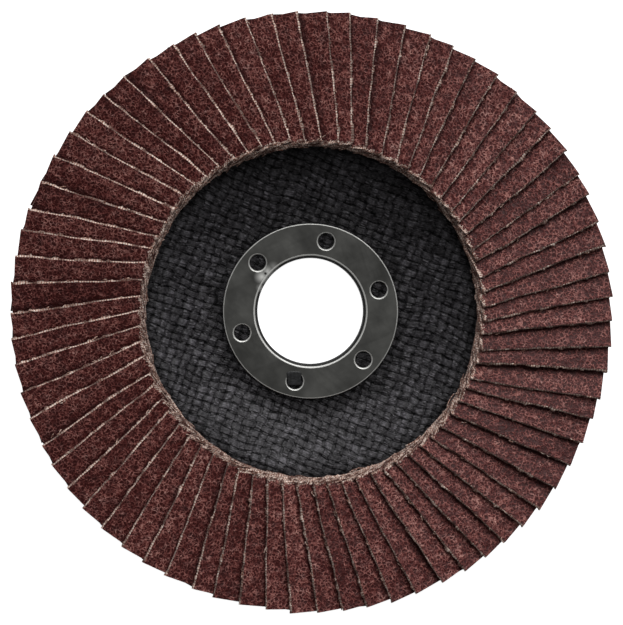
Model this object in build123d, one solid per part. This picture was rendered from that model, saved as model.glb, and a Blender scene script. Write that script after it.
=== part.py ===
from build123d import *
import math
import os

# Flap disc for a hand grinder, 125 mm across, with its abrasive side up.
# The origin is on the bore's axis, in the plane of the hub's back face. +Z points to the
# abrasive side. Lengths are in millimetres and angles in degrees.

# Centre ring: a pressed steel washer whose inner edge is drawn down into a collar.
bore_radius = 22.23 / 2
ring_sheet = 0.5
ring_flange = 7.25
ring_bend = 0.95
ring_edge_round = 0.2
ring_hole_radius = 1.7
ring_hole_round = 0.4
ring_hole_margin = 1.625
ring_hole_count = 6
ring_first_hole = 17.4
collar_recess = 0.2

# Backing plate: glass cloth in black resin, with its hub set back from the rim.
plate_thickness = 3.0
hub_margin = 3.7
slope_run = 10.5
rim_width = 25.4
hub_offset = 5.0
bend_radius = 6.0
rim_round = 0.5
ring_fit = 0.03
lock_fit = 0.1
lock_fill = 0.5

# Adhesive bed: the ring of resin that the lower edges of the flaps stand in.
bed_height = 2.0
bed_inset = 4.5
bed_setback = 1.5
bed_round = 0.6
bed_under_flap = 0.4

# Flaps: rectangles of abrasive cloth, laid over one another like roof tiles.
flap_count = 72
flap_length = 27.3
flap_width = 18.0
flap_thickness = 0.8
flap_gap = 0.2
flap_overhang = 3.94
first_flap = 2.1
flaps_per_node = 2

# Places that follow from the sizes above.
collar_radius = bore_radius + ring_sheet
ring_radius = bore_radius + ring_flange
ring_hole_circle = ring_radius - ring_hole_margin - ring_hole_radius
ring_top = plate_thickness + ring_sheet
lock_height = lock_fill * ring_sheet
ring_inner_bend = max(ring_bend - ring_sheet, 0.1)
hub_radius = ring_radius + hub_margin
shoulder_radius = hub_radius + slope_run
plate_radius = shoulder_radius + rim_width
slope_angle = math.atan2(hub_offset, slope_run)
bed_floor = hub_offset + plate_thickness
bed_inner_radius = shoulder_radius + bed_inset
bed_outer_radius = plate_radius - bed_setback
flap_pitch = 360 / flap_count
flap_outer = plate_radius + flap_overhang
flap_inner = flap_outer - flap_length
# Neighbours are one pitch apart, so a steeper flap leaves more room for the one on it.
# This tilt leaves flap_gap between them at their inner ends, where they lie closest.
flap_rise = (flap_thickness + flap_gap) / (flap_inner * math.sin(math.radians(flap_pitch)))
flap_tilt = math.degrees(math.asin(flap_rise))


def turned(*outline):
    """The closed outline, drawn in radius and height, turned about the disc's axis."""
    section = make_face(Plane.XZ * (Curve() + list(outline)))
    return revolve(section, axis=Axis.Z)


def ring_holes(radius, height, bottom):
    """One cylinder at each hole of the centre ring."""
    places = PolarLocations(ring_hole_circle, ring_hole_count, ring_first_hole)
    base = (Align.CENTER, Align.CENTER, Align.MIN)
    return [
        place * Pos(0, 0, bottom) * Cylinder(radius, height, align=base)
        for place in places
    ]


def backing_plate():
    """A dished disc of even thickness: flat hub, conical slope and flat rim, with resin
    standing up in the ring's holes, which keeps the ring from turning."""
    plate_bore = collar_radius + ring_fit
    # The back's two corners lie further out, so that the wall is as thick on the slope.
    back_shift = plate_thickness * math.tan(slope_angle / 2)
    front = FilletPolyline(
        (plate_bore + ring_inner_bend + ring_fit, plate_thickness),
        (hub_radius, plate_thickness),
        (shoulder_radius, bed_floor),
        (plate_radius, bed_floor),
        (plate_radius, hub_offset),
        radius=[bend_radius, bend_radius + plate_thickness, rim_round],
    )
    back = FilletPolyline(
        (plate_radius, hub_offset),
        (shoulder_radius + back_shift, hub_offset),
        (hub_radius + back_shift, 0),
        (plate_bore, 0),
        radius=[bend_radius, bend_radius + plate_thickness],
    )
    # The bore's front edge is broken, to clear the bend between flange and collar.
    bore = Polyline(
        (plate_bore, 0),
        (plate_bore, plate_thickness - ring_inner_bend - ring_fit),
        (plate_bore + ring_inner_bend + ring_fit, plate_thickness),
    )
    plate = turned(front, back, bore)
    return plate + ring_holes(ring_hole_radius - lock_fit, lock_height, plate_thickness)


def centre_ring():
    """Flange, rounded lip and collar in one sheet, with six punched holes whose front
    edges are drawn in."""
    edge_round = min(ring_edge_round, 0.4 * ring_sheet)
    outline = FilletPolyline(
        (bore_radius, collar_recess),
        (bore_radius, ring_top),
        (ring_radius, ring_top),
        (ring_radius, plate_thickness),
        (collar_radius, plate_thickness),
        (collar_radius, collar_recess),
        radius=[ring_bend, edge_round, edge_round, ring_inner_bend],
    )
    foot = Line((collar_radius, collar_recess), (bore_radius, collar_recess))
    ring = turned(outline, foot)
    ring -= ring_holes(ring_hole_radius, 2 * ring_sheet, plate_thickness - ring_sheet / 2)
    mouths = ring.edges().filter_by(
        lambda edge: edge.geom_type == GeomType.CIRCLE
        and math.isclose(edge.radius, ring_hole_radius, abs_tol=1e-4)
        and math.isclose(edge.center().Z, ring_top, abs_tol=1e-4)
    )
    return fillet(mouths, min(ring_hole_round, 0.8 * ring_sheet))


def flap(index):
    """One rectangle of abrasive cloth. Its long middle line points straight away from the
    axis, and it leans about that line: the edge on the clockwise side is up."""
    tilt = math.radians(flap_tilt)
    half_rise = flap_width / 2 * math.sin(tilt) + flap_thickness / 2 * math.cos(tilt)
    middle = Pos((flap_inner + flap_outer) / 2, 0, bed_floor + bed_under_flap + half_rise)
    turn = Rot(0, 0, first_flap + index * flap_pitch)
    return turn * middle * Rot(-flap_tilt, 0, 0) * Box(flap_length, flap_width, flap_thickness)


def adhesive_bed(flaps):
    """A flat ring of resin on the plate's rim. The flaps' lower edges stand in it, so it
    has the slot of each flap, over a floor that holds it together."""
    shoulder = min(bed_round, 0.8 * bed_height)
    surface = FilletPolyline(
        (bed_inner_radius, bed_floor),
        (bed_inner_radius, bed_floor + bed_height),
        (bed_outer_radius, bed_floor + bed_height),
        (bed_outer_radius, bed_floor),
        radius=[shoulder, shoulder],
    )
    floor = Line((bed_outer_radius, bed_floor), (bed_inner_radius, bed_floor))
    return turned(surface, floor) - flaps


flaps = [flap(index) for index in range(flap_count)]
nodes = {
    "backing_plate": backing_plate(),
    "centre_ring": centre_ring(),
    "adhesive_bed": adhesive_bed(flaps),
}
# The flaps are alike and there are many, so neighbours share a node, as separate solids.
for number, first in enumerate(range(0, flap_count, flaps_per_node), start=1):
    nodes[f"flap_pair_{number:02d}"] = Compound(flaps[first : first + flaps_per_node])

os.makedirs("parts", exist_ok=True)
for name, shape in nodes.items():
    export_step(shape, f"parts/{name}.step")
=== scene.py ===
import math
import bmesh
import bpy
import numpy as np
from mathutils import Matrix, Vector


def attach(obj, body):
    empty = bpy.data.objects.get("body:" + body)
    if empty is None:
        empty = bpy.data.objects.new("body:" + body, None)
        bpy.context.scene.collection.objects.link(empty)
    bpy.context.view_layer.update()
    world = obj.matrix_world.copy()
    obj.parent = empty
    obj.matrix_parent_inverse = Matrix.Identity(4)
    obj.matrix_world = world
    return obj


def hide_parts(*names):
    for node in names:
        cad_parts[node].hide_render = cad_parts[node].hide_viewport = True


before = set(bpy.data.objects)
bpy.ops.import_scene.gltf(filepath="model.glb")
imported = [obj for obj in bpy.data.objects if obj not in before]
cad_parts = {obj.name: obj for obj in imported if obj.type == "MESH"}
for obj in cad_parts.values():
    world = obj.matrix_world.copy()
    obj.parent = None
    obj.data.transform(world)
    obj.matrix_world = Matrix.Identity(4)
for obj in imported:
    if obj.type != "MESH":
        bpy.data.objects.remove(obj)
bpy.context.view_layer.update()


# Backing plate. The real one is layers of open glass cloth, soaked in black phenolic resin and
# pressed hot into a dish: flat hub, sloping side, flat rim. The yarns show through the thin
# resin as a woven relief, front and back.
MM = 0.001
nearly = 0.01
hub_height = 3.0
plate_bore = 11.645
bore_break = 0.48
hub_corner = 22.065
shoulder_corner = 32.565
rim_height = 8.0
rim_back = 5.0
back_shift = 0.678
plate_edge = 57.965
hollow_bend, outer_bend = 6.0, 9.0
rim_edge_round = 0.5
plate_segments = 510
ring_edge = 18.365
flap_shade = 37.0
# The yarns: direction, pitches, flanks as shares of a pitch, rise, and how far they wander.
yarn_turn = math.radians(-20.5)
long_yarn_pitch = 1.65
cross_yarn_pitch = 1.88
long_edges, cross_edges = (0.3, 0.47), (0.24, 0.44)
yarn_middle, yarn_swing = 0.55, 0.45
yarn_relief = 0.21
wanders = ((0.55, 7.0), (0.27, 2.6))
# The resin: how high it stands, its lumps and where it lies flat. How far the plate is darker
# beside the ring, and how far the painted shadow reaches below the flaps' inner ends.
resin_level, resin_swing, resin_cell = 0.36, 0.34, 3.0
lump_relief, lump_cell = 0.04, 0.8
under_ring, ring_fade = 0.3, 1.2
bore_margin = 0.6
rim_margin, rim_fade = 0.8, 0.6
ring_darkening_width, flap_shadow_width = 4.5, 2.3
flap_shadow_start = 32.6


def start(add, **values):
    """Adds a primitive while nothing else is selected, and opens it for editing."""
    bpy.ops.object.select_all(action="DESELECT")
    add(**values)
    bpy.ops.object.mode_set(mode="EDIT")
    return bpy.context.object


def pick(piece, kind, wanted):
    """Selects the verts, edges or faces that pass a test, and nothing else."""
    modes = {"verts": "VERT", "edges": "EDGE", "faces": "FACE"}
    bpy.ops.mesh.select_mode(type=modes[kind])
    bpy.ops.mesh.select_all(action="DESELECT")
    shape = bmesh.from_edit_mesh(piece.data)
    for part in getattr(shape, kind):
        if wanted(part):
            part.select_set(True)
    shape.select_flush_mode()
    bmesh.update_edit_mesh(piece.data)


def finish_editing(piece, name):
    """Closes the piece, puts its place into its mesh and names it."""
    bpy.ops.object.mode_set(mode="OBJECT")
    bpy.ops.object.transform_apply(location=True, rotation=True, scale=True)
    piece.name = piece.data.name = name
    return piece


def draw_outline(points):
    """Draws a closed outline of radius and height in mm, by extruding one point."""
    here = points[0]
    piece = start(
        bpy.ops.mesh.primitive_plane_add, size=MM, location=(here[0] * MM, 0, here[1] * MM)
    )
    bpy.ops.mesh.select_mode(type="VERT")
    bpy.ops.mesh.select_all(action="SELECT")
    bpy.ops.mesh.merge(type="CENTER")
    for point in [*points[1:], points[0]]:
        step = ((point[0] - here[0]) * MM, 0, (point[1] - here[1]) * MM)
        bpy.ops.mesh.extrude_region_move(TRANSFORM_OT_translate={"value": step})
        here = point
    bpy.ops.mesh.select_all(action="SELECT")
    bpy.ops.mesh.remove_doubles(threshold=0.001 * MM)
    return piece


def near(piece, point):
    """A test for the corner of an outline that lies at this radius and height in mm."""
    goal = Vector((point[0] * MM, 0, point[1] * MM)) - piece.location
    return lambda corner: (corner.co - goal).length < nearly * MM


def between(piece, first, last):
    """A test for the straight edges of an outline between these two radii and heights."""
    ends = [Vector((p[0] * MM, 0, p[1] * MM)) - piece.location for p in (first, last)]
    line = ends[1] - ends[0]

    def wanted(edge):
        for corner in edge.verts:
            along = (corner.co - ends[0]).dot(line) / line.length_squared
            off = corner.co - ends[0] - line * along
            if not -0.001 < along < 1.001 or off.length > nearly * MM:
                return False
        return True

    return wanted


def turn_outline(segments):
    """Turns the open outline about the disc's axis into a closed shell that faces out."""
    bpy.ops.mesh.select_all(action="SELECT")
    bpy.ops.mesh.spin(
        steps=segments, angle=2 * math.pi, center=(0, 0, 0), axis=(0, 0, 1), dupli=False
    )
    bpy.ops.mesh.select_all(action="SELECT")
    bpy.ops.mesh.remove_doubles(threshold=0.005 * MM)
    bpy.ops.mesh.normals_make_consistent(inside=False)


def read(piece, what="co"):
    """The places, or the normals, of a piece's vertices in mm, one row each."""
    values = np.empty(len(piece.data.vertices) * 3)
    piece.data.vertices.foreach_get(what, values)
    return values.reshape(-1, 3) / (MM if what == "co" else 1)


def write(piece, places):
    """Moves a piece's vertices to these places in mm."""
    piece.data.vertices.foreach_set("co", (places * MM).ravel())
    piece.data.update()


def write_number(piece, name, values):
    """Keeps one number for each vertex, for the materials to read."""
    layer = piece.data.attributes.new(name, "FLOAT", "POINT")
    layer.data.foreach_set("value", np.asarray(values, dtype=np.float32))


def cloudy(random, x, y, cell):
    """Smooth random values from -1 to 1 over x and y, with hills one cell apart."""
    u, v = (x - x.min()) / cell, (y - y.min()) / cell
    i, j = u.astype(int), v.astype(int)
    hills = random.uniform(-1, 1, (i.max() + 2, j.max() + 2))
    u, v = u - i, v - j
    u, v = u * u * (3 - 2 * u), v * v * (3 - 2 * v)
    low = hills[i, j] * (1 - u) + hills[i + 1, j] * u
    high = hills[i, j + 1] * (1 - u) + hills[i + 1, j + 1] * u
    return low * (1 - v) + high * v


def linear(colour):
    """An sRGB colour such as "4e312f" in the linear light that shaders work in."""
    parts = [int(colour[i : i + 2], 16) / 255 for i in (0, 2, 4)]
    parts = [p / 12.92 if p <= 0.04045 else ((p + 0.055) / 1.055) ** 2.4 for p in parts]
    return (*parts, 1.0)


def new_material(name):
    """A material with no nodes yet."""
    material = bpy.data.materials.new(name)
    material.use_nodes = True
    material.node_tree.nodes.clear()
    return material, material.node_tree


def add_node(tree, kind, sockets={}, stops=(), **settings):
    """Adds a node. A socket takes a value, another node's output, or a node, which stands for
    its first output. Stops fill a ramp."""
    made = tree.nodes.new("ShaderNode" + kind)
    for setting, value in settings.items():
        setattr(made, setting, value)
    for socket, value in sockets.items():
        if isinstance(value, bpy.types.Node):
            value = value.outputs[0]
        if isinstance(value, bpy.types.NodeSocket):
            tree.links.new(value, made.inputs[socket])
        else:
            made.inputs[socket].default_value = value
    for place, (position, colour) in enumerate(stops):
        ramp = made.color_ramp.elements
        stop = ramp[place] if place < 2 else ramp.new(position)
        stop.position, stop.color = position, colour
    return made


corners = [
    (plate_bore, hub_height - bore_break),
    (plate_bore + bore_break, hub_height),
    (ring_edge, hub_height),
    (hub_corner, hub_height),
    (shoulder_corner, rim_height),
    (flap_shade, rim_height),
    (plate_edge, rim_height),
    (plate_edge, rim_back),
    (shoulder_corner + back_shift, rim_back),
    (hub_corner + back_shift, 0),
    (plate_bore, 0),
]
plate = draw_outline(corners)
half_bend = math.tan(math.atan2(rim_height - hub_height, shoulder_corner - hub_corner) / 2)
for corner, bend, pieces in (
    (3, hollow_bend, 8),
    (4, outer_bend, 12),
    (8, hollow_bend, 6),
    (9, outer_bend, 8),
):
    pick(plate, "verts", near(plate, corners[corner]))
    bpy.ops.mesh.bevel(affect="VERTICES", offset=bend * half_bend * MM, segments=pieces)
pick(plate, "verts", near(plate, corners[6]))
bpy.ops.mesh.bevel(affect="VERTICES", offset=rim_edge_round * MM, segments=3)
# The seen faces get rings close enough together for the relief of the yarns.
for first, cuts in ((1, 2), (2, 7), (3, 26), (4, 7), (5, 3), (7, 32), (8, 15), (9, 20)):
    pick(plate, "edges", between(plate, corners[first], corners[first + 1]))
    bpy.ops.mesh.subdivide(number_cuts=cuts)
turn_outline(plate_segments)
plate = finish_editing(plate, "backing_plate_cloth")

# Resin that rose into the ring's six holes and set there, as small domes.
lock_circle = 15.04
lock_radius = 1.6
lock_height = 0.25
lock_root = 0.2
lock_count = 6
first_lock = 17.4
dome_ring = 0.36
dome_steps = (-0.03, 0.04, 0.03, 0.0)
dome_fade = 0.5
for number in range(lock_count):
    angle = math.radians(first_lock + 360 / lock_count * number)
    lock = start(
        bpy.ops.mesh.primitive_cylinder_add,
        vertices=24,
        radius=lock_radius * MM,
        depth=(lock_height + lock_root) * MM,
        location=(
            lock_circle * math.cos(angle) * MM,
            lock_circle * math.sin(angle) * MM,
            (hub_height + lock_height / 2 - lock_root / 2) * MM,
        ),
    )
    pick(lock, "faces", lambda face: face.normal.z > 0.9)
    for step in dome_steps:
        bpy.ops.mesh.inset(thickness=dome_ring * MM, depth=step * MM)
    finish_editing(lock, "lock")
    plate.select_set(True)
    bpy.context.view_layer.objects.active = plate
    bpy.ops.object.join()


def yarn_height(run, side, counted, sign, edges):
    """Height from 0 to 1 of the yarns that lie at whole numbers of side and run along run,
    over one crossing yarn and under the next, with a flat back between these two edges."""
    inner, outer = edges
    flank = np.clip((outer - np.abs(side - counted)) / (outer - inner), 0, 1)
    flank = flank * flank * (3 - 2 * flank)
    return flank * (yarn_middle + sign * yarn_swing * np.cos(np.pi * (run + counted)))


random = np.random.default_rng(11)
places, normals = read(plate), read(plate, "normal")
from_axis = np.hypot(places[:, 0], places[:, 1])
along = places[:, 0] * math.cos(yarn_turn) + places[:, 1] * math.sin(yarn_turn)
across = -places[:, 0] * math.sin(yarn_turn) + places[:, 1] * math.cos(yarn_turn)
for shift, cell in wanders:
    along += shift * cloudy(random, places[:, 0], places[:, 1], cell)
    across += shift * cloudy(random, places[:, 0], places[:, 1], cell)
along, across = along / cross_yarn_pitch, across / long_yarn_pitch
height = np.maximum(
    yarn_height(along, across, np.round(across), 1, long_edges),
    yarn_height(across, along, np.round(along), -1, cross_edges),
)
# Resin stands higher in some places than in others, and drowns the gaps between the yarns.
drowned = resin_level + resin_swing * cloudy(random, places[:, 0], places[:, 1], resin_cell)
height = np.maximum(height, drowned)
# The relief fades out where the plate is squeezed flat: at the bore, under the ring, at the rim.
is_front = (places[:, 2] > hub_height - nearly) | (from_axis > shoulder_corner)
is_front &= normals[:, 2] > 0
fade = (from_axis - ring_edge + under_ring) / ring_fade
fade = np.where(is_front, fade, from_axis - plate_bore - bore_margin)
fade = np.clip(fade, 0, 1) * np.clip((plate_edge - rim_margin - from_axis) / rim_fade, 0, 1)
in_lock = abs(from_axis - lock_circle) < lock_radius + nearly
in_lock &= places[:, 2] > hub_height + lock_height / 2
fade = np.where(in_lock, dome_fade, fade)
lumps = cloudy(random, places[:, 0], places[:, 1], lump_cell) - 1
sunk = (height - 1) * yarn_relief + lump_relief * lumps
write(plate, places + normals * (sunk * fade)[:, None])
weave_map = plate.data.uv_layers.new(name="weave")
corner_of = np.empty(len(plate.data.loops), dtype=int)
plate.data.loops.foreach_get("vertex_index", corner_of)
weave_map.data.foreach_set("uv", np.stack([along, across], 1)[corner_of].ravel())
# Darker beside the ring, and painted shadow of the flaps' inner ends on the plate below them.
ring_darkening_and_flap_shadow = np.where(is_front, 1 - (from_axis - ring_edge) / ring_darkening_width, 0)
ring_darkening_and_flap_shadow = np.maximum(ring_darkening_and_flap_shadow, np.where(is_front, (from_axis - flap_shadow_start) / flap_shadow_width, 0))
write_number(plate, "ring_darkening_and_flap_shadow", np.clip(ring_darkening_and_flap_shadow, 0, 1))
plate.data.shade_smooth()
bpy.ops.object.select_all(action="DESELECT")
plate.select_set(True)
bpy.context.view_layer.objects.active = plate
bpy.ops.object.shade_smooth_by_angle(angle=math.radians(50))

# Glass cloth under black phenolic resin, hot pressed: flat grey yarn tops with a dull shine,
# black slits where one yarn dives under the next, and places where resin hides them all.
laminate, tree = new_material("glass cloth in black phenolic resin, hot pressed")
pair = add_node(tree, "UVMap", uv_map="weave")
split = add_node(tree, "SeparateXYZ", {0: pair})
u, v = split.outputs["X"], split.outputs["Y"]
row = add_node(tree, "Math", {0: v}, operation="ROUND")
column = add_node(tree, "Math", {0: u}, operation="ROUND")
yarns, beside = [], []
for run, side, counted, rise, edges in (
    (u, v, row, yarn_swing, long_edges),
    (v, u, column, -yarn_swing, cross_edges),
):
    phase = add_node(tree, "Math", {0: run, 1: counted}, operation="ADD")
    phase = add_node(tree, "Math", {0: phase, 1: math.pi}, operation="MULTIPLY")
    wave = add_node(tree, "Math", {0: phase}, operation="COSINE")
    wave = add_node(tree, "Math", {0: wave, 1: rise, 2: yarn_middle}, operation="MULTIPLY_ADD")
    off = add_node(tree, "Math", {0: side, 1: counted}, operation="SUBTRACT")
    off = add_node(tree, "Math", {0: off}, operation="ABSOLUTE")
    beside.append(off)
    flank = add_node(
        tree,
        "MapRange",
        {0: off, 1: edges[0], 2: edges[1], 3: 1.0, 4: 0.0},
        interpolation_type="SMOOTHSTEP",
    )
    yarns.append(add_node(tree, "Math", {0: wave, 1: flank}, operation="MULTIPLY"))
lifted = add_node(tree, "Math", dict(enumerate(yarns)), operation="MAXIMUM")
lengthwise = add_node(tree, "Math", dict(enumerate(yarns)), operation="GREATER_THAN")
between_yarns = add_node(tree, "Math", dict(enumerate(yarns)), operation="SUBTRACT")
between_yarns = add_node(tree, "Math", {0: between_yarns}, operation="ABSOLUTE")
place = add_node(tree, "TexCoord").outputs["Object"]
gaps = add_node(tree, "TexNoise", {"Vector": place, "Scale": 540.0, "Detail": 2.0})
slit_width = add_node(tree, "MapRange", {0: gaps, 1: 0.38, 2: 0.64, 3: 0.04, 4: 0.8})
# The yarns lie further apart one way, so the slits between their rows are the open ones.
row_gap = add_node(tree, "MapRange", {0: beside[0], 1: 0.24, 2: 0.4, 3: 0.15, 4: 1.0})
slit = add_node(
    tree,
    "MapRange",
    {0: between_yarns, 1: 0.0, 2: slit_width, 3: 1.0, 4: 0.0},
    interpolation_type="SMOOTHSTEP",
)
slit = add_node(tree, "Math", {0: slit, 1: row_gap}, operation="MULTIPLY")
# Filaments are 0.01 mm across, far too fine to show, so streaks of about 0.14 mm are drawn on
# the long yarns and of about 0.33 mm on the cross ones.
fibres = []
for stretch in ((1.2, 12.0, 1.0), (1.0, 5.0, 1.0)):
    drawn = add_node(tree, "Mapping", {"Vector": pair, "Scale": stretch})
    fibres.append(
        add_node(
            tree,
            "TexNoise",
            {"Vector": drawn, "Scale": 1.0, "Detail": 2.0, "Roughness": 0.6},
            noise_dimensions="2D",
        )
    )
fibres[1] = add_node(tree, "MapRange", {0: fibres[1], 1: 0.3, 2: 0.7})
fibre = add_node(tree, "Mix", {0: lengthwise, 2: fibres[1], 3: fibres[0]})
crossing = add_node(tree, "CombineXYZ", {0: column, 1: row, 2: lengthwise})
wetted = add_node(tree, "TexWhiteNoise", {"Vector": crossing})
puddles = add_node(tree, "TexNoise", {"Vector": place, "Scale": 330.0, "Detail": 3.0})
crumbs = add_node(tree, "TexNoise", {"Vector": place, "Scale": 1900.0, "Detail": 2.0})
ring_darkening_and_flap_shadow = add_node(tree, "Attribute", attribute_name="ring_darkening_and_flap_shadow").outputs["Fac"]
crisp = add_node(
    tree, "MapRange", {0: lifted, 1: 0.55, 2: 0.88}, interpolation_type="SMOOTHSTEP"
)
bare = add_node(tree, "MapRange", {0: wetted, 1: 0.0, 2: 0.9, 3: 0.2, 4: 0.9})
tops = add_node(tree, "Math", {0: crisp, 1: bare}, operation="MULTIPLY")
proud = add_node(tree, "MapRange", {0: lengthwise, 3: 0.6, 4: 1.0})
tops = add_node(tree, "Math", {0: tops, 1: proud}, operation="MULTIPLY")
body = add_node(tree, "Math", {0: tops, 1: 0.32, 2: -0.535}, operation="MULTIPLY_ADD")
# The plate is darker beside the ring, and painted shadow lies below the flaps' inner ends.
for part, amount in ((slit, -0.55), (fibre, 0.65), (puddles, 0.6), (crumbs, 0.85),
                     (ring_darkening_and_flap_shadow, -0.3)):
    body = add_node(tree, "Math", {0: part, 1: amount, 2: body}, operation="MULTIPLY_ADD")
tone = add_node(
    tree,
    "ValToRGB",
    {0: body},
    stops=[
        (0.05, linear("060607")),
        (0.32, linear("171518")),
        (0.56, linear("2b292c")),
        (0.78, linear("424044")),
        (1.0, linear("6b686e")),
    ],
)
gloss = add_node(tree, "MapRange", {0: lifted, 1: 0.0, 2: 1.0, 3: 0.35, 4: 0.55})
shine = add_node(tree, "MapRange", {0: body, 1: 0.1, 2: 0.8, 3: 0.1, 4: 0.5})
rough = add_node(tree, "Math", {0: crisp, 1: 0.45}, operation="MULTIPLY")
for part, amount in ((fibre, 0.35), (crumbs, 0.5), (slit, -0.35)):
    rough = add_node(tree, "Math", {0: part, 1: amount, 2: rough}, operation="MULTIPLY_ADD")
bump = add_node(tree, "Bump", {"Height": rough, "Distance": 0.25 * MM, "Strength": 0.8})
shader = add_node(
    tree,
    "BsdfPrincipled",
    {"Base Color": tone, "Roughness": gloss, "Normal": bump, "Specular IOR Level": shine},
)
add_node(tree, "OutputMaterial", {"Surface": shader})
plate.data.materials.clear()
plate.data.materials.append(laminate)
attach(plate, "root")
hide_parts("backing_plate")


# Adhesive bed. The real one is a thick bead of two-part epoxy, laid on the plate's rim before
# the flaps are pressed in. It swells up a little between them and sets glossy and dark.
bed_inner, bed_outer = 37.1, 56.4
bed_top = 10.0
bed_round = 1.0
bed_segments = 360
swell_height, swell_cell = 0.25, 2.5
bed = draw_outline(
    [(bed_inner, rim_height), (bed_inner, bed_top), (bed_outer, bed_top), (bed_outer, rim_height)]
)
for corner in ((bed_inner, bed_top), (bed_outer, bed_top)):
    pick(bed, "verts", near(bed, corner))
    bpy.ops.mesh.bevel(affect="VERTICES", offset=bed_round * MM, segments=5)
pick(bed, "edges", between(bed, (bed_inner, bed_top), (bed_outer, bed_top)))
bpy.ops.mesh.subdivide(number_cuts=10)
turn_outline(bed_segments)
bed = finish_editing(bed, "adhesive_bead")
places, normals = read(bed), read(bed, "normal")
swell = cloudy(random, places[:, 0], places[:, 1], swell_cell)
swell = (swell - 1) * swell_height * (places[:, 2] > rim_height + 0.05)
write(bed, places + normals * swell[:, None])
bed.data.shade_smooth()

# Epoxy, poured and set in air: dark amber-brown, smooth, with dust and small bubbles.
epoxy, tree = new_material("epoxy adhesive, poured and set")
place = add_node(tree, "TexCoord").outputs["Object"]
bubbles = add_node(tree, "TexVoronoi", {"Vector": place, "Scale": 900.0})
dust = add_node(tree, "TexNoise", {"Vector": place, "Scale": 320.0, "Detail": 4.0})
tone = add_node(
    tree, "ValToRGB", {0: dust}, stops=[(0.3, linear("1f1512")), (0.7, linear("3b2a22"))]
)
gloss = add_node(tree, "MapRange", {0: dust, 3: 0.18, 4: 0.4})
bump = add_node(tree, "Bump", {"Height": bubbles, "Distance": 0.1 * MM, "Strength": 0.5})
shader = add_node(
    tree, "BsdfPrincipled", {"Base Color": tone, "Roughness": gloss, "Normal": bump}
)
add_node(tree, "OutputMaterial", {"Surface": shader})
bed.data.materials.append(epoxy)
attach(bed, "root")
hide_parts("adhesive_bed")


# Centre ring. The real one is tin-plated steel sheet, punched and drawn in a press tool. Its
# collar lines the bore, and its flange is held by resin that rises through six holes.
# Where the painted shade on the collar wall and the painted highlights on the roundings begin
# and end, from the axis or a hole's middle.
wall_shade_reach = (11.58, 11.75)
lip_reach = (11.93, 12.02)
rim_reach = (18.12, 18.2)
mouth_reach = (1.93, 2.0)
# The painted highlight spots beside one hole, each with its place, reach and strength, and the
# pit among them, painted dark as shade.
painted_highlight_spots = (
    (-10.2, 7.2, 1.7, 1.0),
    (-9.0, 8.4, 1.5, 0.85),
    (-7.8, 9.4, 1.2, 0.4),
    (-10.6, 4.9, 1.0, 0.5),
)
highlight_spot_core = 0.4
pit_place, pit_shade_reach = (-9.45, 7.9), (0.15, 0.35)
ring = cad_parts["centre_ring"]

# Tinplate, rolled then pressed: satin grey metal that mirrors the dark room, with fine
# scratches in every direction from handling and dull smudges. Its roundings and some spots beside
# one hole are painted bright as highlights; its collar wall and a pit are painted dark as shade.
tinplate, tree = new_material("tinplated steel, pressed")
place = add_node(tree, "TexCoord").outputs["Object"]
smudges = add_node(tree, "TexNoise", {"Vector": place, "Scale": 190.0, "Detail": 5.0})
scratches = []
for turn, scale in ((0.4, 900.0), (1.9, 1300.0), (-0.7, 1100.0)):
    drawn = add_node(
        tree,
        "Mapping",
        {"Vector": place, "Rotation": (0, 0, turn), "Scale": (16.0, 1.0, 1.0)},
        vector_type="TEXTURE",
    )
    scratches.append(
        add_node(
            tree,
            "TexNoise",
            {"Vector": drawn, "Scale": scale, "Detail": 3.0, "Roughness": 0.7},
        )
    )
scratch = add_node(tree, "Math", {0: scratches[0], 1: scratches[1]}, operation="MAXIMUM")
scratch = add_node(tree, "Math", {0: scratch, 1: scratches[2]}, operation="MAXIMUM")
flattened = add_node(tree, "Mapping", {"Vector": place, "Scale": (1.0, 1.0, 0.0)})
from_axis = add_node(tree, "VectorMath", {0: flattened}, operation="LENGTH").outputs["Value"]
split = add_node(tree, "SeparateXYZ", {0: place}).outputs
bearing = add_node(tree, "Math", {0: split["Y"], 1: split["X"]}, operation="ARCTAN2")
bearing = add_node(
    tree, "Math", {0: bearing, 1: -math.radians(first_lock)}, operation="ADD"
)
half_gap = math.pi / lock_count
bearing = add_node(tree, "Math", {0: bearing, 1: -half_gap, 2: half_gap}, operation="WRAP")
facing = add_node(tree, "Math", {0: bearing}, operation="COSINE")
sideways = add_node(tree, "Math", {0: bearing}, operation="SINE")
beyond = add_node(tree, "Math", {0: facing, 1: from_axis}, operation="MULTIPLY")
beyond = add_node(tree, "Math", {0: beyond, 1: lock_circle * MM}, operation="SUBTRACT")
sideways = add_node(tree, "Math", {0: sideways, 1: from_axis}, operation="MULTIPLY")
from_hole = add_node(tree, "CombineXYZ", {0: beyond, 1: sideways})
from_hole = add_node(tree, "VectorMath", {0: from_hole}, operation="LENGTH").outputs["Value"]
# Masks for the painted shade on the collar wall and the painted highlights on the roundings, by
# distance from the axis and from the nearest of the six holes.
painted_wall_shade, lip, rim, mouth = (
    add_node(
        tree,
        "MapRange",
        {0: distance, 1: reach[0] * MM, 2: reach[1] * MM, 3: start_value, 4: 1.0 - start_value},
    )
    for distance, reach, start_value in (
        (from_axis, wall_shade_reach, 1.0),
        (from_axis, lip_reach, 1.0),
        (from_axis, rim_reach, 0.0),
        (from_hole, mouth_reach, 1.0),
    )
)
painted_highlight_on_roundings = add_node(tree, "Math", {0: lip, 1: rim}, operation="MAXIMUM")
painted_highlight_on_roundings = add_node(tree, "Math", {0: painted_highlight_on_roundings, 1: mouth}, operation="MAXIMUM")
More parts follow.
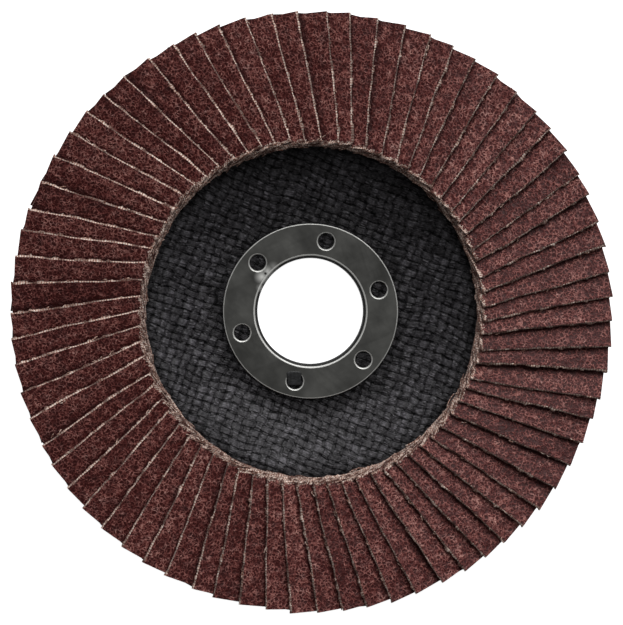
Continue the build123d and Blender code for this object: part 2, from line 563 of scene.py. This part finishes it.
# Painted highlight spots beside one hole, and painted shade for the pit among them.
painted_spot_highlight = None
for x, y, reach, strength in painted_highlight_spots:
    spot = (x * MM, y * MM, 0)
    away = add_node(tree, "VectorMath", {0: flattened, 1: spot}, operation="DISTANCE")
    away = add_node(
        tree,
        "Math",
        {0: smudges, 1: 0.8 * MM, 2: away.outputs["Value"]},
        operation="MULTIPLY_ADD",
    )
    bright = add_node(
        tree,
        "MapRange",
        {0: away, 1: highlight_spot_core * MM, 2: (reach + highlight_spot_core) * MM, 3: strength, 4: 0.0},
    )
    painted_spot_highlight = add_node(tree, "Math", {0: bright, 1: painted_spot_highlight or 0.0}, operation="MAXIMUM")
spot = (pit_place[0] * MM, pit_place[1] * MM, 0)
away = add_node(tree, "VectorMath", {0: flattened, 1: spot}, operation="DISTANCE")
away = away.outputs["Value"]
painted_pit_shade = add_node(
    tree, "MapRange", {0: away, 1: pit_shade_reach[0] * MM, 2: pit_shade_reach[1] * MM, 3: 1.0, 4: 0.0}
)
tone = add_node(
    tree, "ValToRGB", {0: smudges}, stops=[(0.3, linear("6e6e6b")), (0.7, linear("90908c"))]
)
# Painted highlights on the roundings and spots; painted shade on the collar wall and the pit.
for mask, colour in ((painted_highlight_on_roundings, "e6e6e2"), (painted_wall_shade, "2a2a29"), (painted_spot_highlight, "f6f6f2"),
                     (painted_pit_shade, "3a3a39")):
    tone = add_node(
        tree, "Mix", {0: mask, 6: tone, 7: linear(colour)}, data_type="RGBA"
    ).outputs[2]
dull = add_node(tree, "MapRange", {0: scratch, 1: 0.5, 2: 0.8, 3: 0.3, 4: 0.22})
for part, amount in ((smudges, 0.1), (painted_highlight_on_roundings, 0.15), (painted_wall_shade, 0.2), (painted_spot_highlight, 0.26)):
    dull = add_node(tree, "Math", {0: part, 1: amount, 2: dull}, operation="MULTIPLY_ADD")
# The painted highlight on the roundings is made partly non-metal, so it catches light every way.
bare_metal = add_node(tree, "MapRange", {0: painted_highlight_on_roundings, 3: 1.0, 4: 0.6})
dents = add_node(tree, "Math", {0: scratch, 1: 0.06}, operation="MULTIPLY")
dents = add_node(tree, "Math", {0: smudges, 1: 0.3, 2: dents}, operation="MULTIPLY_ADD")
bump = add_node(tree, "Bump", {"Height": dents, "Distance": 0.2 * MM, "Strength": 0.35})
shader = add_node(
    tree,
    "BsdfPrincipled",
    {"Base Color": tone, "Metallic": bare_metal, "Roughness": dull, "Normal": bump},
)
add_node(tree, "OutputMaterial", {"Surface": shader})
ring.data.materials.clear()
ring.data.materials.append(tinplate)


# Flash. Resin that filled one hole of the ring to the brim and was pressed flat on its edge. It
# set there as a squarish patch with a rough outline.
flash_place = (-3.42, -14.12)
flash_radius = 1.5
flash_thickness, flash_middle = 0.4, 3.35
flash_ring = 0.21
flash_steps = (0.03, 0.02, -0.01, 0.01, -0.02, -0.01)
flash_wander, flash_cell = 0.12, 0.6
flash = start(
    bpy.ops.mesh.primitive_cylinder_add,
    vertices=48,
    radius=flash_radius * MM,
    depth=flash_thickness * MM,
    location=(flash_place[0] * MM, flash_place[1] * MM, flash_middle * MM),
)
pick(flash, "faces", lambda face: face.normal.z > 0.9)
for step in flash_steps:
    bpy.ops.mesh.inset(thickness=flash_ring * MM, depth=step * MM)
flash = finish_editing(flash, "resin_flash")
places = read(flash)
random = np.random.default_rng(5)
x, y = places[:, 0] - flash_place[0], places[:, 1] - flash_place[1]
# Its rings are pushed out from circles to squares with round corners.
squareness = np.hypot(x, y) / (x**8 + y**8 + 1e-12) ** 0.125
x, y = x * squareness, y * squareness
places[:, 0] = flash_place[0] + x + flash_wander * cloudy(random, x, y, flash_cell)
places[:, 1] = flash_place[1] + y + flash_wander * cloudy(random, x, y, flash_cell)
places[:, 2] += np.where(places[:, 2] > flash_middle, 0.02 * cloudy(random, x, y, 0.5), 0)
write(flash, places)
flash.data.shade_smooth()

# Black phenolic resin, pressed against a steel plate: nearly black, and smooth but dusty.
flashed, tree = new_material("black phenolic resin, flash")
place = add_node(tree, "TexCoord").outputs["Object"]
dust = add_node(tree, "TexNoise", {"Vector": place, "Scale": 1500.0, "Detail": 3.0})
tone = add_node(
    tree, "ValToRGB", {0: dust}, stops=[(0.35, linear("0c0c0d")), (0.7, linear("2a2a2c"))]
)
gloss = add_node(tree, "MapRange", {0: dust, 3: 0.35, 4: 0.6})
bump = add_node(tree, "Bump", {"Height": dust, "Distance": 0.1 * MM, "Strength": 0.5})
shader = add_node(
    tree, "BsdfPrincipled", {"Base Color": tone, "Roughness": gloss, "Normal": bump}
)
add_node(tree, "OutputMaterial", {"Surface": shader})
flash.data.materials.append(flashed)
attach(flash, "root")


# Abrasive flaps. Each is a rectangle cut from cotton twill that carries brown aluminium oxide
# grain in red-brown resin. They stand in the adhesive on their lower edge, each leaning on
# the next, so only the strip beside its raised cut edge is seen. The cut edges are frayed.
flap_count = 72
flap_pitch = 360 / flap_count
flap_length, flap_width, flap_thickness = 27.3, 18.0, 0.8
flap_inner = 34.605
flap_foot = 8.4
flap_tilt = math.radians(19.36)
first_flap = 2.1
grain_coat = 0.15
cloth_layers = (0.13, 0.52)
seen_width = 5.6
columns, seen_rows = 116, 24
wide_rows = (0.6, 0.9, 1.5, 3.4, 6.0)
# How unevenly the flaps are set and tinted. Their spacing drifts slowly round the disc.
drift, drift_start = 1.9, 70
turn_spread, lean_spread = 0.3, 0.25
mean_slip, slip_spread = -0.02, 0.08
tint_spread = 0.04
# The grain's relief, and how deep it has chipped off the inner end, with each depth's share.
grain_warp, warp_cell = 0.3, 0.7
grain_cell, edge_width = 0.95, 0.3
ridge_mean, ridge_swing, ridge_cell = 0.7, 0.6, 1.3
ridge_relief = 0.1
speck_relief, speck_cell = 0.05, 0.5
chip_depths, chip_shares = (0.1, 0.3, 0.5), (0.2, 0.5, 0.3)
# The fray: how far yarn ends, tufts and the coat reach, and its share at the two ends.
yarn_end_pitch = 0.55
fray_least, fray_mean, fray_swing = 0.02, 0.12, 0.2
tuft_length, tuft_cell, loose_cell = 0.8, 0.8, 3.2
coat_swing, coat_back = 0.08, 0.03
end_frays = ((-1, 1.1), (1, 0.1))
# The bend: how far the two ends sag, and the long and short waves of the raised edge.
inner_sag, outer_sag, sag_power, curl_cell = 0.1, 0.75, 1.5, 9.0
bow, bow_cell = 0.2, 8.0
ripple, ripple_cell = 0.05, 2.2
# The loose threads: their number and sizes, how they hang, and how brown they are.
threads_each = 18
thread_bends = 6
thread_radii = (0.05, 0.13)
end_lengths, end_stretch = (0.5, 0.9, 2.4), (0.7, 1.4)
edge_lengths = (0.3, 1.4)
thread_hang = 0.7
thread_browns = (0.0, 0.1, 0.5)
# How brown the cloth is, from 0 to 1: along its edges, at the glued inner end, and below.
stain_mean, stain_swing, stain_most, stain_cell = 0.25, 0.8, 0.9, 1.6
streak_mean, streak_swing, streak_most, streak_cell = 0.44, 1.1, 0.95, 0.8
glued_depth = 0.4
back_brown = 0.85
# The width of the strip under the flap above, painted darker and greyer as shade in the crease.
painted_shade_width = 1.1

half_length, half_width = flap_length / 2, flap_width / 2
flap = start(bpy.ops.mesh.primitive_grid_add, x_subdivisions=columns, y_subdivisions=seen_rows,
             size=1.0)
bpy.ops.transform.resize(value=(flap_length * MM, seen_width * MM, 1.0))
bpy.ops.transform.translate(value=(0, (seen_width / 2 - half_width) * MM, 0))
# The part that lies under other flaps is drawn out in a few wide rows.
far = (seen_width - half_width) * MM
pick(flap, "edges", lambda edge: all(abs(c.co.y - far) < nearly * MM for c in edge.verts))
for width in wide_rows:
    bpy.ops.mesh.extrude_region_move(TRANSFORM_OT_translate={"value": (0, width * MM, 0)})
# The outline is drawn down through the grain coat and then the cloth, and closed below.
pick(flap, "edges", lambda edge: edge.is_boundary)
for depth in (grain_coat, *cloth_layers):
    bpy.ops.mesh.extrude_region_move(TRANSFORM_OT_translate={"value": (0, 0, -depth * MM)})
bpy.ops.mesh.edge_face_add()
bpy.ops.mesh.select_all(action="SELECT")
bpy.ops.mesh.normals_make_consistent(inside=False)
pick(flap, "edges", lambda edge: edge.calc_face_angle(0) > 1.2)
bpy.ops.mesh.mark_sharp()
flap = finish_editing(flap, "flap")
flap.data.shade_smooth()
flap_shape = read(flap)
is_top = flap_shape[:, 2] > -nearly

# A loose thread: a thin four-sided tube, 1 mm long, bent as it is laid. One flap has many.
thread = start(
    bpy.ops.mesh.primitive_circle_add, vertices=4, radius=MM, fill_type="NGON",
    rotation=(0, math.pi / 2, 0),
)
for number in range(thread_bends):
    bpy.ops.mesh.extrude_region_move(TRANSFORM_OT_translate={"value": (MM / thread_bends, 0, 0)})
bpy.ops.mesh.select_all(action="SELECT")
bpy.ops.mesh.normals_make_consistent(inside=False)
thread = finish_editing(thread, "threads")
thread.data.shade_smooth()
thread_shape = read(thread)
row_of_threads = thread.modifiers.new("row", "ARRAY")
row_of_threads.count = threads_each
bpy.ops.object.modifier_apply(modifier=row_of_threads.name)

# Abrasive grain, dusted on and held by brown resin: dark red pits between the grains, and a
# net of paler, slightly shiny ridges where the resin has drawn up round them. The grains are
# about 0.3 mm, and they cling together in cells of about 0.75 mm. Grey dust lies in places. The
# strip under the flap above is painted darker and greyer, as shade in the crease.
grain, tree = new_material("aluminium oxide grain in brown resin, coated")
place = add_node(tree, "TexCoord").outputs["Object"]
ridge = add_node(tree, "Attribute", attribute_name="ridge").outputs["Fac"]
tint = add_node(tree, "Attribute", attribute_name="tint").outputs["Fac"]
bent = add_node(tree, "TexNoise", {"Vector": place, "Scale": 1200.0, "Detail": 1.0})
bent = add_node(
    tree,
    "VectorMath",
    {0: bent.outputs["Color"], 1: (0.0009, 0.0009, 0.0009), 2: place},
    operation="MULTIPLY_ADD",
)
net = add_node(
    tree,
    "TexVoronoi",
    {"Vector": bent, "Scale": 1350.0, "Randomness": 1.0},
    feature="DISTANCE_TO_EDGE",
)
net = add_node(
    tree,
    "MapRange",
    {0: net, 1: 0.0, 2: 0.28, 3: 1.0, 4: 0.0},
    interpolation_type="SMOOTHSTEP",
)
drifts = add_node(tree, "TexNoise", {"Vector": place, "Scale": 800.0, "Detail": 2.0})
strong = add_node(tree, "MapRange", {0: drifts, 1: 0.36, 2: 0.62, 3: 0.5, 4: 1.0})
net = add_node(tree, "Math", {0: net, 1: strong}, operation="MULTIPLY")
specks = add_node(
    tree, "TexNoise", {"Vector": place, "Scale": 3200.0, "Detail": 2.0, "Roughness": 0.6}
)
stains = add_node(tree, "TexNoise", {"Vector": place, "Scale": 260.0, "Detail": 2.0})
painted_crease_shade = add_node(tree, "Attribute", attribute_name="painted_crease_shade").outputs["Fac"]
# The tone holds painted shade: the strip under the flap above is made darker.
tone_with_painted_crease_shade = add_node(tree, "Math", {0: tint, 1: -0.625}, operation="ADD")
for part, amount in ((net, 0.7), (ridge, 0.2), (specks, 0.92), (stains, 0.3),
                     (painted_crease_shade, -0.32)):
    tone_with_painted_crease_shade = add_node(tree, "Math", {0: part, 1: amount, 2: tone_with_painted_crease_shade}, operation="MULTIPLY_ADD")
tone = add_node(
    tree,
    "ValToRGB",
    {0: tone_with_painted_crease_shade},
    stops=[
        (0.0, linear("380705")),
        (0.25, linear("491513")),
        (0.5, linear("713a36")),
        (0.75, linear("9d645c")),
        (1.0, linear("cd9b90")),
    ],
)
grey = add_node(tree, "RGBToBW", {0: tone})
dust = add_node(tree, "TexNoise", {"Vector": place, "Scale": 700.0, "Detail": 2.0})
dust = add_node(tree, "MapRange", {0: dust, 1: 0.45, 2: 0.7, 3: 0.0, 4: 0.2})
# The strip under the flap above is also painted greyer, as part of the painted shade.
dust = add_node(tree, "Math", {0: painted_crease_shade, 1: 0.14, 2: dust}, operation="MULTIPLY_ADD")
tone = add_node(tree, "Mix", {0: dust, 6: tone, 7: grey}, data_type="RGBA").outputs[2]
rough = add_node(tree, "Math", {0: specks, 1: 0.6, 2: net}, operation="MULTIPLY_ADD")
bump = add_node(tree, "Bump", {"Height": rough, "Distance": 0.16 * MM, "Strength": 0.45})
shader = add_node(
    tree,
    "BsdfPrincipled",
    {"Base Color": tone, "Roughness": 0.55, "Normal": bump, "Specular IOR Level": 0.3},
)
add_node(tree, "OutputMaterial", {"Surface": shader})

# Cotton twill, sized with resin and cut with a knife: pale fluffy yarn ends 0.55 mm apart,
# browned in places by the resin, and a ribbed brown back.
cotton, tree = new_material("cotton twill, resin sized, knife cut")
place = add_node(tree, "TexCoord").outputs["Object"]
browned = add_node(tree, "Attribute", attribute_name="browned").outputs["Fac"]
wale = add_node(tree, "Attribute", attribute_name="wale").outputs["Fac"]
fluff = add_node(
    tree, "TexNoise", {"Vector": place, "Scale": 2400.0, "Detail": 3.0, "Roughness": 0.6}
)
wale = add_node(tree, "Math", {0: fluff, 1: 7.0, 2: wale}, operation="MULTIPLY_ADD")
ends = add_node(tree, "Math", {0: wale}, operation="COSINE")
ends = add_node(tree, "Math", {0: ends, 1: 0.13, 2: fluff}, operation="MULTIPLY_ADD")
pale = add_node(
    tree,
    "ValToRGB",
    {0: ends},
    stops=[
        (0.32, linear("805748")),
        (0.48, linear("e0bbab")),
        (0.66, linear("fff0e4")),
    ],
)
tone = add_node(
    tree, "Mix", {0: browned, 6: pale, 7: linear("4a251c")}, data_type="RGBA"
).outputs[2]
bump = add_node(tree, "Bump", {"Height": ends, "Distance": 0.2 * MM, "Strength": 0.8})
shader = add_node(
    tree,
    "BsdfPrincipled",
    {
        "Base Color": tone,
        "Roughness": 0.9,
        "Normal": bump,
        "Specular IOR Level": 0.2,
        "Sheen Weight": 0.15,
    },
)
add_node(tree, "OutputMaterial", {"Surface": shader})


def cells(random, x, y, cell):
    """How near each point is to the edge between two grains, 1 on the edge and 0 far off."""
    u, v = (x - x.min()) / cell + 1, (y - y.min()) / cell + 1
    i, j = u.astype(int), v.astype(int)
    sites = random.random((i.max() + 2, j.max() + 2, 2))
    nearest = np.full(len(x), 9.0)
    second = nearest.copy()
    for across in (-1, 0, 1):
        for up in (-1, 0, 1):
            site = sites[i + across, j + up]
            away = np.hypot(i + across + site[:, 0] - u, j + up + site[:, 1] - v)
            second = np.minimum(second, np.maximum(nearest, away))
            nearest = np.minimum(nearest, away)
    return np.exp(-(((second - nearest) / edge_width) ** 2))


def set_in_place(points, lean, turn, slip):
    """Leans a flap's points, stands them on the rim and turns them to their place."""
    x, y, z = points[:, 0], points[:, 1], points[:, 2] + flap_thickness / 2
    y, z = y * math.cos(lean) + z * math.sin(lean), z * math.cos(lean) - y * math.sin(lean)
    z = z + half_width * math.sin(flap_tilt) + flap_thickness / 2 * math.cos(flap_tilt)
    x, z = x + flap_inner + half_length + slip, z + flap_foot
    return np.stack(
        [x * math.cos(turn) - y * math.sin(turn), x * math.sin(turn) + y * math.cos(turn), z], 1
    )


def wear(random, points):
    """The shape of one flap, made uneven: its grain, its frayed edges and its bend. Returns
    its points and, for each, how much it is a ridge of the grain."""
    points = points.copy()
    x, y, z = points.T.copy()
    level = np.zeros_like(x)
    warped_x = x + grain_warp * cloudy(random, x, y, warp_cell)
    warped_y = y + grain_warp * cloudy(random, x, y, warp_cell)
    ridge = cells(random, warped_x, warped_y, grain_cell)
    patches = ridge_mean + ridge_swing * cloudy(random, x, y, ridge_cell)
    ridge = np.clip(ridge * patches, 0, 1)
    relief = ridge_relief * (ridge - 1) + speck_relief * (cloudy(random, x, y, speck_cell) - 1)
    points[:, 2] += np.where(is_top, relief, 0)
    # Fray: the cloth's yarn ends stand out beyond the chipped grain coat, with tufts here and
    # there where a yarn has come loose.
    along = x + y
    ends = 0.6 * cloudy(random, along, 2.3 * z, yarn_end_pitch)
    ends += 0.6 * cloudy(random, along, z, 2.6 * yarn_end_pitch)
    tufts = np.clip(cloudy(random, along, z, tuft_cell) - 0.5, 0, 1)
    loose = np.clip(0.5 + 1.2 * cloudy(random, along, level, loose_cell), 0, 1)
    fray = fray_least + loose * (fray_mean + fray_swing * ends) + tuft_length * tufts
    fray = np.where(z < -grain_coat - nearly, fray, coat_swing * ends - coat_back)
    points[:, 1] -= np.where(y < -half_width + nearly, fray, 0)
    for end, amount in end_frays:
        points[:, 0] += np.where(end * x > half_length - nearly, end * fray * amount, 0)
    # Bend: the outer end is free, so it sags and curls more than the inner end.
    free = np.clip((x + half_length) / flap_length, 0, 1)
    curl = cloudy(random, x, level, curl_cell) * 0.5 - 0.5
    sag = inner_sag + outer_sag * free**sag_power
    points[:, 2] += curl * sag * np.clip(-y / half_width, 0, 1)
    waves = bow * cloudy(random, x, level, bow_cell)
    points[:, 1] += waves + ripple * cloudy(random, x, level, ripple_cell)
    return points, ridge


def lay_threads(random):
    """Loose threads along the raised cut edge and, three in four, the inner end of a flap. A
    cotton yarn is 0.1 mm thick or less, and these are drawn a little thicker, to show. Returns
    their points and, for each, how brown it is."""
    laid, brown = [], []
    t = thread_shape[:, 0]
    for number in range(threads_each):
        thick = random.uniform(*thread_radii)
        if number % 4:
            length = random.choice(end_lengths) * random.uniform(*end_stretch)
            begin = (
                -half_length - random.uniform(-0.3, 0.25),
                random.uniform(-half_width, half_width - 6.0),
                -random.uniform(0.0, 0.75),
            )
            way = np.array([random.normal(0, 0.15), random.choice([-1, 1]), 0.0])
        else:
            length = random.uniform(*edge_lengths)
            begin = (
                random.uniform(-half_length, half_length - 1.0),
                -half_width - random.uniform(0.02, 0.2),
                -random.uniform(0.25, 0.7),
            )
            way = np.array([random.choice([-1, 1]), random.normal(-0.05, 0.2), 0.0])
        way = way / np.linalg.norm(way)
        side = np.array([way[1], -way[0], 0.0])
        curl = random.uniform(-0.3, 0.3) * length
        wave = random.uniform(0.02, 0.1)
        rate = random.uniform(3, 8)
        points = np.array(begin) + length * t[:, None] * way
        points += (curl * t * (t - 1) + wave * np.sin(rate * t))[:, None] * side
        points += thick * thread_shape[:, 1:2] * side
        points[:, 2] += thick * thread_shape[:, 2]
        points[:, 2] += random.uniform(-0.1, 0.1) * np.sin(rate * t + 1)
        # Past the raised edge a thread hangs down, so it comes no higher than the edge.
        points[:, 2] -= thread_hang * np.clip(0.1 - half_width - points[:, 1], 0, None)
        laid.append(points)
        brown.append(np.full(len(points), random.choice(thread_browns)))
    return np.concatenate(laid), np.concatenate(brown)


def copy_of(original, name, places):
    """A copy of a modelled piece, with its own mesh, at these places in mm."""
    made = bpy.data.objects.new(name, original.data.copy())
    bpy.context.scene.collection.objects.link(made)
    write(made, places)
    return made


def mark(random, sheet, ridge):
    """Keeps, for each point of a flap, what the materials have to know."""
    x, y, z = flap_shape.T
    write_number(sheet, "ridge", ridge)
    write_number(sheet, "tint", np.full(len(x), random.normal(0, tint_spread)))
    stain = cloudy(random, x + y, 0 * ridge, stain_cell)
    stain = np.clip(stain_mean + stain_swing * stain, 0, stain_most)
    # The ends next to the plate are dark with resin, but for a few streaks.
    streaks = cloudy(random, y, 3 * z, streak_cell)
    streaks = np.clip(streak_mean + streak_swing * streaks, 0.0, streak_most)
    stain = np.where(x < glued_depth - half_length, streaks, stain)
    underside = z < nearly - flap_thickness
    write_number(sheet, "browned", np.where(underside, back_brown, stain))
    # The strip under the flap above is marked, to be painted darker and greyer as shade.
    cover = (flap_inner + half_length + x) * math.tan(math.radians(flap_pitch))
    cover = cover / math.cos(flap_tilt) - half_width - y
    write_number(sheet, "painted_crease_shade", np.clip(1 - cover / painted_shade_width, 0, 1))
    write_number(sheet, "wale", 2 * math.pi / yarn_end_pitch * (x + y))


# Which faces of a flap are grain, and how near to its inner end each face begins.
face_of = np.repeat(np.arange(len(flap.data.polygons)), [f.loop_total for f in flap.data.polygons])
corner_of = np.empty(len(flap.data.loops), dtype=int)
flap.data.loops.foreach_get("vertex_index", corner_of)
lowest = np.full(len(flap.data.polygons), 9.0)
np.minimum.at(lowest, face_of, flap_shape[corner_of, 2])
grain_faces = lowest > -grain_coat - nearly
nearest_end = np.full(len(flap.data.polygons), 99.0)
np.minimum.at(nearest_end, face_of, flap_shape[corner_of, 0] + half_length)
for pair_number in range(flap_count // 2):
    made = []
    for index in (2 * pair_number, 2 * pair_number + 1):
        random = np.random.default_rng(1000 + index)
        turn = first_flap + index * flap_pitch
        turn -= drift * math.cos(math.radians(turn - drift_start)) - random.normal(0, turn_spread)
        lean = flap_tilt + math.radians(random.normal(0, lean_spread))
        slip = random.normal(mean_slip, slip_spread)
        points, ridge = wear(random, flap_shape)
        turn = math.radians(turn)
        sheet = copy_of(flap, "sheet", set_in_place(points, lean, turn, slip))
        mark(random, sheet, ridge)
        sheet.data.materials.append(grain)
        sheet.data.materials.append(cotton)
        # The grain has chipped off the inner end, and the cloth shows there.
        chipped = nearest_end < random.choice(chip_depths, len(nearest_end), p=chip_shares)
        sheet.data.polygons.foreach_set(
            "material_index", np.where(grain_faces & ~chipped, 0, 1)
        )
        made.append(sheet)
        points, brown = lay_threads(random)
        loose = copy_of(thread, "loose", set_in_place(points, lean, turn, slip))
        write_number(loose, "browned", brown)
        loose.data.materials.append(cotton)
        made.append(loose)
    bpy.ops.object.select_all(action="DESELECT")
    for part in made:
        part.select_set(True)
    pair = made[0]
    bpy.context.view_layer.objects.active = pair
    bpy.ops.object.join()
    pair.name = pair.data.name = f"abrasive_flaps_{pair_number + 1:02d}"
    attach(pair, "root")
    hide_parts(f"flap_pair_{pair_number + 1:02d}")
for pattern in (flap, thread):
    bpy.data.objects.remove(pattern)


# The studio. A pale sweep under the disc, a soft lamp beyond its top edge, a little light
# from all round, and a camera straight above with a long lens.
floor_size, floor_drop = 6.0, 0.02
floor_glow = 0.95
room_strength = 0.14
lamp_away, lamp_height, lamp_turn = 3.0, math.radians(39), math.radians(76)
lamp_power = 87.0
lamp_width, lamp_depth = 3.0, 2.4
camera_place = (-0.026, 0.019, 0.915)
camera_goal = (-0.00013, -0.00004, 0.015)
camera_sensor, camera_lens = 36.0, 251.3

bpy.context.scene.view_settings.view_transform = "Standard"
floor = start(
    bpy.ops.mesh.primitive_plane_add, size=floor_size, location=(0, 0, -floor_drop * MM)
)
floor = finish_editing(floor, "floor")
paper, tree = new_material("white paper sweep")
rays = add_node(tree, "LightPath").outputs
seen = add_node(
    tree, "Math", {0: rays["Is Camera Ray"], 1: rays["Is Glossy Ray"]}, operation="MAXIMUM"
)
seen = add_node(tree, "Math", {0: seen, 1: rays["Is Transmission Ray"]}, operation="MAXIMUM")
seen = add_node(tree, "Math", {0: seen, 1: floor_glow}, operation="MULTIPLY")
shader = add_node(
    tree,
    "BsdfPrincipled",
    {
        "Base Color": linear("e4e4e4"),
        "Roughness": 0.9,
        "Emission Color": (1, 1, 1, 1),
        "Emission Strength": seen,
    },
)
add_node(tree, "OutputMaterial", {"Surface": shader})
floor.data.materials.append(paper)

world = bpy.data.worlds.new("room")
bpy.context.scene.world = world
world.use_nodes = True
room = world.node_tree.nodes["Background"]
room.inputs["Color"].default_value = (1, 1, 1, 1)
room.inputs["Strength"].default_value = room_strength

lamp_data = bpy.data.lights.new("soft lamp", "AREA")
lamp_data.energy = lamp_power
lamp_data.shape = "RECTANGLE"
lamp_data.size, lamp_data.size_y = lamp_width, lamp_depth
lamp = bpy.data.objects.new("soft lamp", lamp_data)
bpy.context.scene.collection.objects.link(lamp)
lamp.location = (
    lamp_away * math.cos(lamp_height) * math.cos(lamp_turn),
    lamp_away * math.cos(lamp_height) * math.sin(lamp_turn),
    lamp_away * math.sin(lamp_height),
)
lamp.rotation_euler = (-lamp.location).to_track_quat("-Z", "Y").to_euler()

camera_data = bpy.data.cameras.new("camera")
camera = bpy.data.objects.new("camera", camera_data)
bpy.context.scene.collection.objects.link(camera)
camera_data.sensor_fit = "HORIZONTAL"
camera_data.sensor_width = camera_sensor
camera_data.lens = camera_lens
camera.location = camera_place
back = (camera.location - Vector(camera_goal)).normalized()
right = Vector((0, 1, 0)).cross(back).normalized()
camera.rotation_euler = Matrix((right, back.cross(right), back)).transposed().to_euler()
camera_data.clip_start, camera_data.clip_end = 0.1, 10.0
bpy.context.scene.camera = camera
